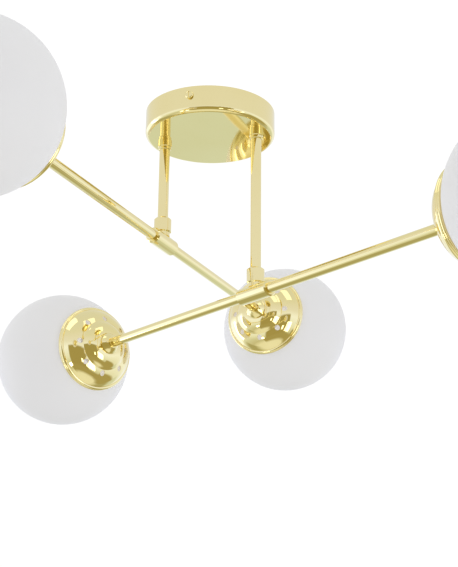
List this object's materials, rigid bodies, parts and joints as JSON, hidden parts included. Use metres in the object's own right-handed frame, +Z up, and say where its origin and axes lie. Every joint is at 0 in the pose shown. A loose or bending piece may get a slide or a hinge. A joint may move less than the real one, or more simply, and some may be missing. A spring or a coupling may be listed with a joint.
{
  "type": "multi arm chandelier",
  "caption": "Ceiling light with a round canopy, drop rods and crossed straight bars that swivel, each bar ending in vented cups and opal globes.",
  "frame": {"origin": "centre of the canopy on the ceiling plane", "axes": "+Z up into the ceiling; the two drop rods stand on the X axis, the short one at -X and the long one at +X"},
  "size_m": [0.668, 0.7594, 0.255],
  "materials": {
    "polished_brass": "polished",
    "opal_glass": "satin opal",
    "zinc_steel": "zinc plated",
    "terminal_plastic": "moulded",
    "lead_sheath": "extruded sheath",
    "nylon": "moulded",
    "gallery_aluminium": "turned",
    "holder_ceramic": "glazed",
    "lamp_cap": "rolled thread shell",
    "lamp_glass": "frosted"
  },
  "bodies": {
    "canopy": {"canopy_cover": "polished_brass", "ceiling_bracket": "zinc_steel", "side_screws": "polished_brass", "terminal_block": "terminal_plastic", "terminal_screws": "zinc_steel", "earth_screw": "polished_brass", "feed_leads": "lead_sheath", "bush_a": "polished_brass", "bush_b": "polished_brass", "bush_nuts": "zinc_steel", "thrust_washers": "nylon"},
    "arm_a": {"rod_a": "polished_brass", "rod_nut_a": "zinc_steel", "lead_a": "lead_sheath", "collar_a": "polished_brass", "sleeve_a": "polished_brass", "sleeve_screw_a": "zinc_steel", "bar_a": "polished_brass", "hub_nuts_a": "polished_brass", "lock_nuts_a": "zinc_steel", "gallery_rings_a": "gallery_aluminium", "cup_a1": "polished_brass", "cup_a2": "polished_brass", "lampholder_a1": "holder_ceramic", "lampholder_a2": "holder_ceramic", "bulb_cap_a1": "lamp_cap", "bulb_cap_a2": "lamp_cap", "bulb_glass_a1": "lamp_glass", "bulb_glass_a2": "lamp_glass", "globe_a1": "opal_glass", "globe_a2": "opal_glass"},
    "arm_b": {"rod_b": "polished_brass", "rod_nut_b": "zinc_steel", "lead_b": "lead_sheath", "collar_b": "polished_brass", "sleeve_b": "polished_brass", "sleeve_screw_b": "zinc_steel", "bar_b": "polished_brass", "hub_nuts_b": "polished_brass", "lock_nuts_b": "zinc_steel", "gallery_rings_b": "gallery_aluminium", "cup_b1": "polished_brass", "cup_b2": "polished_brass", "lampholder_b1": "holder_ceramic", "lampholder_b2": "holder_ceramic", "bulb_cap_b1": "lamp_cap", "bulb_cap_b2": "lamp_cap", "bulb_glass_b1": "lamp_glass", "bulb_glass_b2": "lamp_glass", "globe_b1": "opal_glass", "globe_b2": "opal_glass"}
  },
  "joints": [
    {"name": "swivel_a", "type": "hinge", "parent": "canopy", "child": "arm_a", "pos_m": [-0.046, 0, -0.025], "axis": [0, 0, 1], "range_deg": [-40, 15]},
    {"name": "swivel_b", "type": "hinge", "parent": "canopy", "child": "arm_b", "pos_m": [0.046, 0, -0.025], "axis": [0, 0, 1], "range_deg": [-10, 40]}
  ]
}
